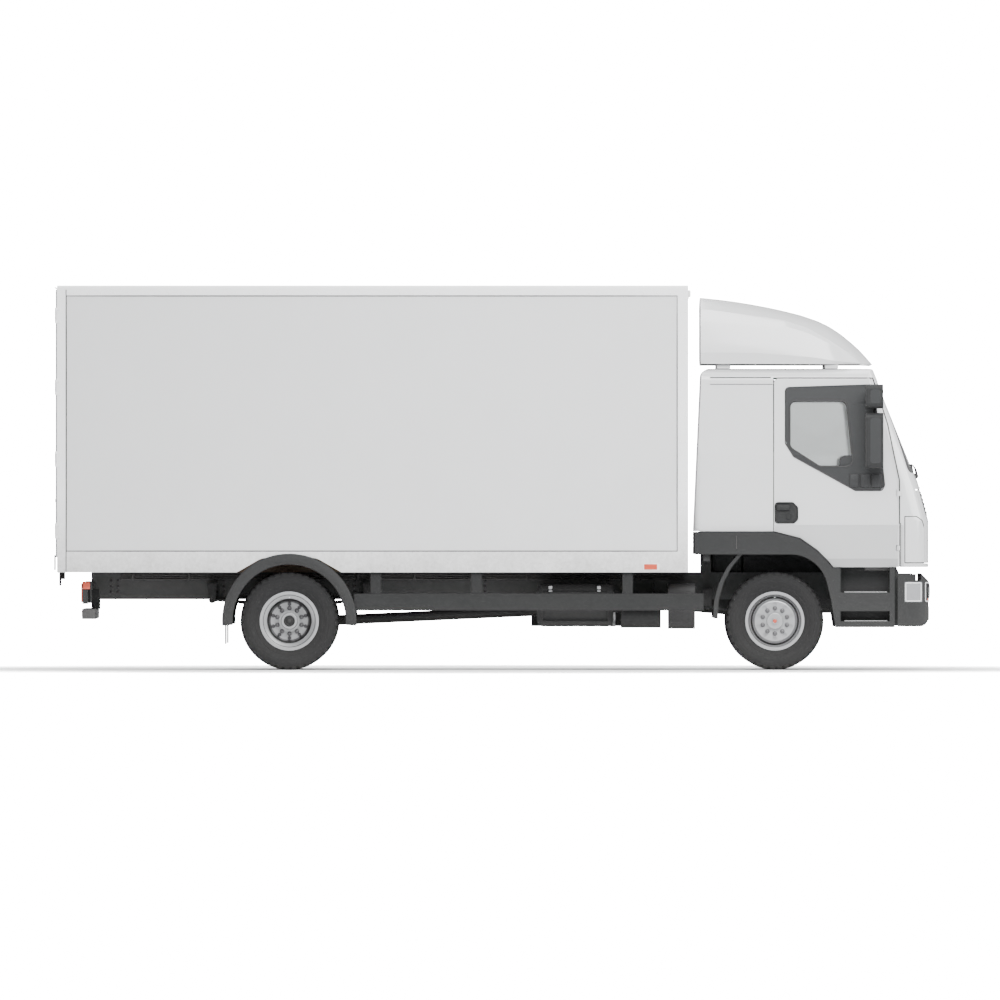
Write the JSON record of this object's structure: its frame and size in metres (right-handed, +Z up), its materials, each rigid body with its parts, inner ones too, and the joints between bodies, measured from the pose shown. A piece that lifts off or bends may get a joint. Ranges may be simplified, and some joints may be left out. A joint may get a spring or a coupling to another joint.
{
  "type": "box truck",
  "caption": "Rigid box truck with a tilting sleeper cab, roof wind deflector, panelled load box with rear doors, steered front wheels and twin rear wheels.",
  "frame": {"origin": "on the ground, at the middle of the bottom of the truck's bounding box", "axes": "+X forward along the truck, +Y to its left, +Z up"},
  "size_m": [7.7579, 2.8, 3.4039],
  "materials": {
    "tyre": "matt rubber",
    "wheel_silver": "silver paint",
    "chassis_iron": "black painted iron",
    "chassis_paint": "satin black chassis paint",
    "bare_metal": "brushed",
    "box_aluminium": "anodised, satin",
    "box_panel": "light grey gel coat",
    "floor_wood": "coated plywood on steel bearers",
    "cab_paint": "light grey gloss paint",
    "dark_plastic": "grained dark plastic",
    "glass": "clear glass",
    "lamp_red": "red lamp lens",
    "seat_fabric": "dark woven cloth"
  },
  "bodies": {
    "chassis": {"air_tanks": "chassis_paint", "battery_box": "chassis_paint", "box_floor": "floor_wood", "box_front_wall": "box_panel", "box_rear_frame": "box_aluminium", "box_roof": "box_panel", "box_side_frames": "box_aluminium", "box_sides": "box_panel", "bumper": "cab_paint", "engine": "chassis_iron", "frame": "chassis_paint", "front_axle": "chassis_iron", "front_mudguards": "dark_plastic", "fuel_tank": "bare_metal", "headlamps": "glass", "leaf_springs": "chassis_iron", "prop_shaft": "chassis_iron", "rear_axle": "chassis_iron", "rear_mudguards": "dark_plastic", "side_guards": "box_aluminium", "silencer": "bare_metal", "tail_lamps": "lamp_red", "underrun_bar": "chassis_paint", "wheel_arches": "dark_plastic"},
    "cab": {"cab_roof": "cab_paint", "cab_back": "cab_paint", "cab_sides": "cab_paint", "cab_front": "cab_paint", "cab_floor": "cab_paint", "windscreen": "glass", "dashboard": "dark_plastic", "seats": "seat_fabric", "roof_deflector": "cab_paint"},
    "front_lid": {"front_panel": "cab_paint"},
    "cab_door_left": {"door_left": "cab_paint", "door_glass_left": "glass", "mirror_left": "dark_plastic"},
    "cab_door_right": {"door_right": "cab_paint", "door_glass_right": "glass", "mirror_right": "dark_plastic"},
    "steering": {"steering_wheel": "dark_plastic"},
    "load_door_left": {"rear_door_left": "box_panel", "lock_bars_left": "bare_metal"},
    "load_door_right": {"rear_door_right": "box_panel", "lock_bars_right": "bare_metal"},
    "steered_knuckle_left": {"knuckle_left": "chassis_iron"},
    "steered_knuckle_right": {"knuckle_right": "chassis_iron"},
    "steering_link": {"track_rod": "chassis_iron"},
    "wheel_front_left": {"front_wheel_left": "wheel_silver", "front_tyre_left": "tyre"},
    "wheel_front_right": {"front_wheel_right": "wheel_silver", "front_tyre_right": "tyre"},
    "wheels_rear_left": {"rear_wheels_left": "wheel_silver", "rear_tyres_left": "tyre"},
    "wheels_rear_right": {"rear_wheels_right": "wheel_silver", "rear_tyres_right": "tyre"}
  },
  "joints": [
    {"name": "cab_tilt", "type": "hinge", "parent": "chassis", "child": "cab", "pos_m": [3.65, 0, 0.67], "axis": [0, 1, 0], "range_deg": [0, 50]},
    {"name": "front_lid_lift", "type": "hinge", "parent": "cab", "child": "front_lid", "pos_m": [3.795, 0, 1.612], "axis": [0, -1, 0], "range_deg": [0, 70]},
    {"name": "cab_door_left_swing", "type": "hinge", "parent": "cab", "child": "cab_door_left", "pos_m": [3.597, 1.09, 1.3], "axis": [0, 0, -1], "range_deg": [0, 75]},
    {"name": "cab_door_right_swing", "type": "hinge", "parent": "cab", "child": "cab_door_right", "pos_m": [3.597, -1.09, 1.3], "axis": [0, 0, 1], "range_deg": [0, 75]},
    {"name": "load_door_left_swing", "type": "hinge", "parent": "chassis", "child": "load_door_left", "pos_m": [-3.86, 1.26, 2.2], "axis": [0, 0, -1], "range_deg": [0, 250]},
    {"name": "load_door_right_swing", "type": "hinge", "parent": "chassis", "child": "load_door_right", "pos_m": [-3.86, -1.26, 2.2], "axis": [0, 0, 1], "range_deg": [0, 250]},
    {"name": "steer_left", "type": "hinge", "parent": "chassis", "child": "steered_knuckle_left", "pos_m": [2.505, 0.835, 0.433], "axis": [0, 0, 1], "range_deg": [-40, 40]},
    {"name": "steer_right", "type": "hinge", "parent": "chassis", "child": "steered_knuckle_right", "pos_m": [2.505, -0.835, 0.433], "axis": [0, 0, 1], "range_deg": [-40, 40]},
    {"name": "track_rod_pivot", "type": "hinge", "parent": "steered_knuckle_left", "child": "steering_link", "pos_m": [2.345, 0.835, 0.339], "axis": [0, 0, 1], "range_deg": [-40, 40]},
    {"name": "front_wheel_left_spin", "type": "hinge", "parent": "steered_knuckle_left", "child": "wheel_front_left", "pos_m": [2.505, 0.965, 0.433], "axis": [0, 1, 0], "continuous": true},
    {"name": "front_wheel_right_spin", "type": "hinge", "parent": "steered_knuckle_right", "child": "wheel_front_right", "pos_m": [2.505, -0.965, 0.433], "axis": [0, 1, 0], "continuous": true},
    {"name": "rear_wheels_left_spin", "type": "hinge", "parent": "chassis", "child": "wheels_rear_left", "pos_m": [-1.795, 0.93, 0.433], "axis": [0, 1, 0], "continuous": true},
    {"name": "rear_wheels_right_spin", "type": "hinge", "parent": "chassis", "child": "wheels_rear_right", "pos_m": [-1.795, -0.93, 0.433], "axis": [0, 1, 0], "continuous": true},
    {"name": "steering_wheel_turn", "type": "hinge", "parent": "cab", "child": "steering", "pos_m": [3.215, 0.6, 1.76], "axis": [-0.5145, 0, 0.8575], "range_deg": [-720, 720]}
  ],
  "couplings": [
    {"joint": "steer_right", "follows": "steer_left", "ratio": 1},
    {"joint": "track_rod_pivot", "follows": "steer_left", "ratio": -1},
    {"joint": "steering_wheel_turn", "follows": "steer_left", "ratio": 18}
  ]
}
